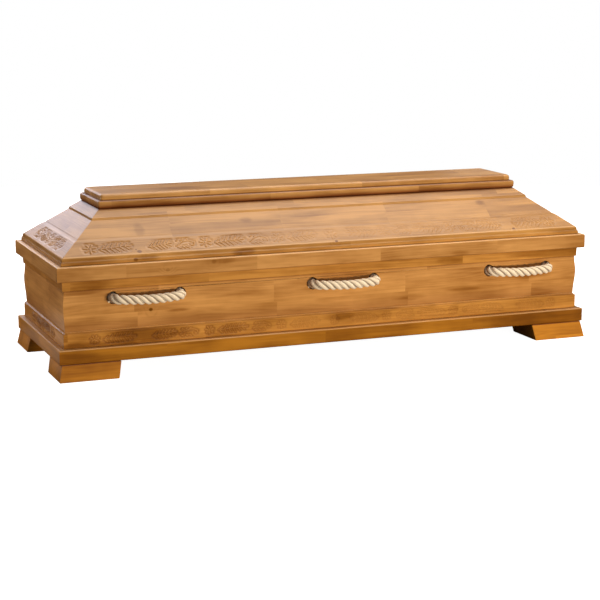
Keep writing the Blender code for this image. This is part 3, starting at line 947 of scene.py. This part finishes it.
def half_line():
    bowed = BORE_HALF_SPAN - BEND_RADIUS * (1 - math.sin(BOW_ANGLE))
    bow = bowed * math.tan(BOW_ANGLE / 2)
    points = [(bowed * t, ROPE_PROUD - bow * t * t) for t in np.linspace(0, 1, 9)]
    for angle in np.linspace(BOW_ANGLE, math.pi / 2, 9)[1:]:
        along = bowed + BEND_RADIUS * (math.sin(angle) - math.sin(BOW_ANGLE))
        points.append((along, ROPE_PROUD - bow - BEND_RADIUS * (math.cos(BOW_ANGLE) - math.cos(angle))))
    knot_end = WALL_THICKNESS + 2 * KNOT_RADIUS + PAST_KNOT
    for inward in (0.5 * WALL_THICKNESS, WALL_THICKNESS + INTO_KNOT, knot_end):
        points.append((BORE_HALF_SPAN, -inward))
    return [(x, out, -ROPE_SAG * (1 - min(1.0, x / BORE_HALF_SPAN) ** 2) ** 2) for x, out in points]


def smooth_line(points, spacing):
    """A smooth curve through the points, with a point every so many metres."""
    p = np.array(points)
    p = np.vstack([2 * p[0] - p[1], p, 2 * p[-1] - p[-2]])
    dense = []
    for i in range(1, len(p) - 2):
        for t in np.linspace(0, 1, POINTS_BETWEEN, endpoint=False):
            a, b, c, d = p[i - 1:i + 3]
            dense.append(0.5 * (2 * b + (c - a) * t + (2 * a - 5 * b + 4 * c - d) * t ** 2
                                + (3 * b - a - 3 * c + d) * t ** 3))
    dense = np.array(dense + [p[-2]])
    run = np.concatenate([[0], np.cumsum(np.linalg.norm(np.diff(dense, axis=0), axis=1))])
    stations = np.linspace(0, run[-1], int(run[-1] / spacing) + 1)
    return np.stack([np.interp(stations, run, dense[:, k]) for k in range(3)], 1), stations


right_half = half_line()
left_half = [(-x, out, up) for x, out, up in reversed(right_half[1:])]
rope_line, rope_run = smooth_line(left_half + right_half, ROPE_STEP)
print("rope length in one handle", round(float(rope_run[-1]), 3), "m")

# %% [markdown]
# ## Twisted rope
# Three strands are laid round each other, one turn every 79 mm. They could be three curves wound round one
# line. Sweeping the outline of three touching circles with a twist gives the same look in one mesh: the
# hollows between the circles become the grooves.

# %% Sweep the strands
LAY = 0.079
TWIST = -1
STRAND_SHARE = 0.56
STRAND_POINTS = 12
STRAND_SPREAD = math.radians(101)


def strand_outline(radius):
    """Points round three merged circles, with the place of each across its own strand."""
    strand = radius * STRAND_SHARE
    outline = []
    for k in range(3):
        middle = 2 * math.pi * k / 3
        for i in range(STRAND_POINTS):
            share = (i + 0.5) / STRAND_POINTS
            angle = middle + STRAND_SPREAD * (2 * share - 1)
            outline.append((
                (radius - strand) * math.cos(middle) + strand * math.cos(angle),
                (radius - strand) * math.sin(middle) + strand * math.sin(angle),
                k + share,
            ))
    return outline


def sweep(name, line, run, radius, closed=False):
    """A mesh of rings along a line, each turned a little further than the last."""
    outline = np.array(strand_outline(radius))
    count, around = len(line), len(outline)
    tangent = np.gradient(line, axis=0)
    if closed:
        tangent = np.roll(line, -1, 0) - np.roll(line, 1, 0)
    tangent /= np.linalg.norm(tangent, axis=1)[:, None]
    side = np.cross(tangent, np.tile([0.0, 0.0, 1.0], (count, 1)))
    side /= np.linalg.norm(side, axis=1)[:, None]
    up = np.cross(side, tangent)

    # The outline stands square to the line at each point and turns with the lay
    turn = TWIST * 2 * math.pi * run / LAY
    u = outline[None, :, 0] * np.cos(turn)[:, None] - outline[None, :, 1] * np.sin(turn)[:, None]
    v = outline[None, :, 0] * np.sin(turn)[:, None] + outline[None, :, 1] * np.cos(turn)[:, None]
    points = line[:, None, :] + u[..., None] * side[:, None, :] + v[..., None] * up[:, None, :]
    faces = []
    for i in range(count if closed else count - 1):
        j = (i + 1) % count
        for k in range(around):
            m = (k + 1) % around
            faces.append((i * around + k, i * around + m, j * around + m, j * around + k))
    if not closed:
        faces.append(tuple(range(around))[::-1])
        faces.append(tuple((count - 1) * around + k for k in range(around)))
    mesh = bpy.data.meshes.new(name)
    mesh.from_pydata(points.reshape(-1, 3).tolist(), [], faces)
    lay = np.stack([np.repeat(run, around), np.tile(outline[:, 2], count), np.zeros(count * around)], 1)
    attribute = mesh.attributes.new("lay", "FLOAT_VECTOR", "POINT")
    attribute.data.foreach_set("vector", lay.astype(np.float32).ravel())
    piece = new_piece(name, mesh)
    only(piece)
    bpy.ops.object.mode_set(mode="EDIT")
    bpy.ops.mesh.select_all(action="SELECT")
    bpy.ops.mesh.normals_make_consistent(inside=False)
    bpy.ops.object.mode_set(mode="OBJECT")
    return piece


# %% [markdown]
# ## The rope's material
# The rope is cream cord of spun yarn, soft and without gloss, and the grooves between its strands are
# darkened as painted shade. Yarns are a millimetre or two wide and run almost along the rope, because each
# strand is twisted against the lay. The sweep stored each point's place along the rope and across its strand,
# so the pattern bends with it.

# %% Spun yarn
YARNS = 8
YARN_SLANT = -3.0 / LAY
FUZZ_SQUEEZE = (160.0, 9.0, 1.0)
ROPE_PALE = "#F9E6C8"
ROPE_DARK = "#C9A878"
# Painted shade: the grooves between the strands are darkened in the colour
GROOVE_SHADE_BROWN = "#5E3E22"
GROOVE_SHADE_EDGE = (0.55, 0.98)
GROOVE_SHADE_STRENGTH = 0.8
YARN_RELIEF = {"Strength": 0.5, "Distance": 0.0012}


def spun_rope():
    material = bpy.data.materials.new("spun_cream_rope")
    material.use_nodes = True
    tree = material.node_tree
    lay = add(tree, "Attribute", out="Vector", attribute_name="lay")
    along, strand, _ = add(tree, "SeparateXYZ", lay).node.outputs

    # The place across a strand runs from 0 to 1, and a yarn is an eighth of it wide
    slant = add(tree, "Math MULTIPLY_ADD", along, YARN_SLANT, strand)
    turns = add(tree, "Math MULTIPLY", slant, 2 * math.pi * YARNS)
    yarn = add(tree, "Math SINE", turns)
    stretched = add(tree, "VectorMath MULTIPLY", lay, FUZZ_SQUEEZE)
    noise = add(tree, "TexNoise", {"Vector": stretched, "Scale": 1.0, "Detail": 3.0})
    fuzz = add(tree, "Math SUBTRACT", noise, 0.5)
    across = add(tree, "Math FRACT", strand)
    centred = add(tree, "Math MULTIPLY_ADD", across, 2.0, -1.0)
    edge = add(tree, "Math ABSOLUTE", centred)
    # The painted shade in the grooves grows towards each strand's edge
    groove_shade = (edge, *GROOVE_SHADE_EDGE, 0.0, GROOVE_SHADE_STRENGTH)
    groove_shade = add(tree, "MapRange", *groove_shade, **SMOOTH)

    tone = add(tree, "Math MULTIPLY_ADD", yarn, 0.10, 0.25)
    tone = add(tree, "Math MULTIPLY_ADD", fuzz, 0.5, tone)
    tone = add(tree, "Clamp", tone)
    colour = add(tree, "Mix", {FACTOR: tone, FIRST: linear(ROPE_PALE), SECOND: linear(ROPE_DARK)}, **COLOURS)
    colour = add(tree, "Mix", {FACTOR: groove_shade, FIRST: colour, SECOND: linear(GROOVE_SHADE_BROWN)}, **COLOURS)
    relief = add(tree, "Math MULTIPLY_ADD", yarn, 0.5, fuzz)
    normal = add(tree, "Bump", {"Height": relief, **YARN_RELIEF})
    shader = tree.nodes["Principled BSDF"]
    tree.links.new(colour, shader.inputs["Base Color"])
    tree.links.new(normal, shader.inputs["Normal"])
    shader.inputs["Roughness"].default_value = 0.85
    shader.inputs["Sheen Weight"].default_value = 0.25
    return material


FINISHES["rope"] = spun_rope()
print("finishes with the rope", len(FINISHES))

# %% [markdown]
# ## Six handles
# One rope with its two stopper knots is modelled and then copied to the six places, which keeps them alike.
# A knot is a tight turn of the rope round its own end, drawn up against the inside of the wall. Two leaning
# rings are enough for it, because it is seen only with the lid off.

# %% Model one handle
KNOT_ROPE_RADIUS = 0.0150
KNOT_TURN = np.array([0.0225, 0.0120, 0.0225])
KNOT_POINTS = 64
ROPE_ANGLE = 50
KNOT_OFF_WALL = 0.0003 + KNOT_RADIUS - 0.008
KNOT_LEANS = ((0.35, -0.004), (-0.35, 0.012))

rope = sweep("rope_pattern", rope_line * np.array([1, -1, 1]), rope_run, ROPE_RADIUS)
knots = []
angles = np.linspace(0, 2 * math.pi, KNOT_POINTS, endpoint=False)
for way in (-1, 1):
    middle = np.array([way * BORE_HALF_SPAN, WALL_THICKNESS + KNOT_OFF_WALL, 0.0])
    circle = np.stack([np.cos(angles), np.sin(angles), np.sin(angles)], 1) * KNOT_TURN
    for lean, back in KNOT_LEANS:
        tilted = circle + middle
        tilted[:, 1] += lean * (tilted[:, 0] - middle[0]) + back
        run = angles / (2 * math.pi) * LAY * 2
        knots.append(sweep("knot_turn", tilted, run, KNOT_ROPE_RADIUS, closed=True))
only(*knots, rope)
bpy.ops.object.join()
only(rope)
bpy.ops.object.shade_smooth_by_angle(angle=math.radians(ROPE_ANGLE))
print("triangles in one rope", len(rope.data.polygons) * 2)

# %% [markdown]
# ## Copying the handle to its places
# Each copy gets a mesh of its own, and the mesh is moved and not the object, so that every piece has its
# origin at the middle of the coffin's foot.

# %% Copy the handle
HANDLE_CENTRES = (-0.709, 0.036, 0.755)
for side in ("front", "back"):
    for number, centre in enumerate(HANDLE_CENTRES, 1):
        node = f"rope_handle_{side}_{number}"
        handle = new_piece(node + "_twisted", rope.data.copy())
        wall_face = -WALL_FACE if side == "front" else WALL_FACE
        place = Matrix.Translation((centre, wall_face, BORE_HEIGHT))
        handle.data.transform(place @ Matrix.Rotation(SIDES[side], 4, "Z"))
        dress(handle, node, "rope")
bpy.data.objects.remove(rope)
print("handles", 2 * len(HANDLE_CENTRES))

# %% [markdown]
# ## Floor
# The coffin stands on a plain pale floor that fades into the studio. The camera sees it nearly white. The
# light that bounces off it onto the wood is as dim as from a grey cloth, or the lower boards would look
# milky. One white paint can't be both, so the shader asks what kind of ray has reached it.

# %% The floor
FLOOR_RADIUS = 5.0
FLOOR_GLOW = 0.97

bpy.ops.object.select_all(action="DESELECT")
bpy.ops.mesh.primitive_circle_add(vertices=96, radius=FLOOR_RADIUS, fill_type="NGON", location=(0, 0, 0))
floor = bpy.context.active_object
floor.name = "pale_floor"
floor_paint = bpy.data.materials.new("pale_floor_paint")
floor_paint.use_nodes = True
floor.data.materials.append(floor_paint)
tree = floor_paint.node_tree
seen = tree.nodes["Principled BSDF"]
seen.inputs["Base Color"].default_value = linear("#F4F3F1")
seen.inputs["Roughness"].default_value = 0.9
seen.inputs["Emission Color"].default_value = linear("#FFFFFF")
seen.inputs["Emission Strength"].default_value = FLOOR_GLOW
dim = add(tree, "BsdfDiffuse", linear("#6A6259"))
dark = add(tree, "BsdfDiffuse", linear("#2A2622"))
path = add(tree, "LightPath").node.outputs
bounced = add(tree, "MixShader", path["Is Glossy Ray"], dim, dark)
whole = add(tree, "MixShader", path["Is Camera Ray"], bounced, seen.outputs[0])
tree.links.new(whole, tree.nodes["Material Output"].inputs["Surface"])
print("floor radius", FLOOR_RADIUS, "m")

# %% [markdown]
# ## Light
# A low soft key in front, from the right, lights the long side and lays the ropes' shadows level behind
# them. It is kept out of reflections, where it would fog the walls. A wide box overhead gives the slopes
# and ledges their shine, and a fill lights the left end. Two boxes far behind shine in the cap and the lid,
# a small cool one shines in the lid's left end, and a low card brightens the left feet.

# %% The lights
def softbox(name, place, aim, size, power, colour):
    bpy.ops.object.light_add(type="AREA", location=place)
    lamp = bpy.context.active_object
    lamp.name = name
    lamp.data.shape = "RECTANGLE"
    lamp.data.size, lamp.data.size_y = size
    lamp.data.energy = power
    lamp.data.color = linear(colour)[:3]
    lamp.visible_camera = False
    lamp.rotation_euler = (Vector(aim) - Vector(place)).to_track_quat("-Z", "Y").to_euler()
    return lamp


key = softbox("low_key", (1.25, -4.4, 0.13), (0.1, -0.3, 0.30), (1.4, 0.18), 178, "#FFF8EE")
key.visible_glossy = False
softbox("left_fill", (-3.3, 0.6, 0.9), (-1.0, 0.1, 0.3), (1.4, 1.0), 25, "#FFF4E8")
softbox("overhead", (0.75, 0.15, 3.2), (0.5, 0.0, 0.4), (3.8, 2.9), 113, "#FFF8EE")
softbox("cool_back", (-1.0, 2.6, 1.15), (-0.9, 0.0, 0.55), (0.9, 0.5), 5.6, "#E6EBFF")
softbox("far_back", (-0.6, 4.2, 3.0), (0.0, 0.3, 0.3), (2.4, 1.2), 36, "#F2F4FF")
softbox("right_back", (2.9, 3.7, 1.08), (0.9, 0.0, 0.6), (0.8, 0.4), 1.3, "#FFF2E6")
softbox("low_card", (-1.29, 0.0, 0.012), (-1.29, 0.0, 1.0), (0.40, 1.1), 0.6, "#FFF4E6")

# %% [markdown]
# ## The studio's air
# Light scattered all round fills the shadows a little. The camera sees plain white behind the coffin, and
# the lacquer mirrors a room that is dim at the floor and lighter overhead. A picture of a studio would do
# the same, and three plain backgrounds keep the script free of files.

# %% Three backgrounds, one for each kind of ray
SCATTERED = 0.22
MIRRORED_STEEPNESS = (0.0, 0.9)
MIRRORED = (0.06, 0.45)

world = bpy.data.worlds.new("studio_air")
bpy.context.scene.world = world
world.use_nodes = True
air = world.node_tree
scattered = air.nodes["Background"]
scattered.inputs["Color"].default_value = linear("#FFFFFF")
scattered.inputs["Strength"].default_value = SCATTERED
direction = add(air, "TexCoord", out="Generated")
steepness = add(air, "SeparateXYZ", direction, out="Z")
strength = add(air, "MapRange", steepness, *MIRRORED_STEEPNESS, *MIRRORED, **SMOOTH)
mirrored = add(air, "Background", {"Color": linear("#FFFFFF"), "Strength": strength})
white = add(air, "Background", {"Color": linear("#FFFFFF"), "Strength": 1.0})
path = add(air, "LightPath").node.outputs
mixed = add(air, "MixShader", path["Is Glossy Ray"], scattered.outputs[0], mirrored)
mixed = add(air, "MixShader", path["Is Camera Ray"], mixed, white)
air.links.new(mixed, air.nodes["World Output"].inputs["Surface"])
print("scattered light", SCATTERED)

# %% [markdown]
# ## Camera
# The camera stands a little above the lid and well to the left, so that the front and the left end show. A
# long lens from some way off keeps the long edges nearly parallel. Its place and angle were worked out from
# the edges and corners in the photograph.

# %% The camera
CAMERA_PLACE = (-2.2906, -5.7776, 1.3791)
CAMERA_DOWN = 11.144
CAMERA_TURN = -21.52

bpy.ops.object.camera_add(
    location=CAMERA_PLACE,
    rotation=(math.radians(90 - CAMERA_DOWN), 0.0, math.radians(CAMERA_TURN)),
)
camera = bpy.context.active_object
camera.data.sensor_width = 36.0
camera.data.lens = 99.34
camera.data.clip_end = 300.0
bpy.context.scene.camera = camera
bpy.context.scene.view_settings.view_transform = "Standard"
print("lens", camera.data.lens, "mm")
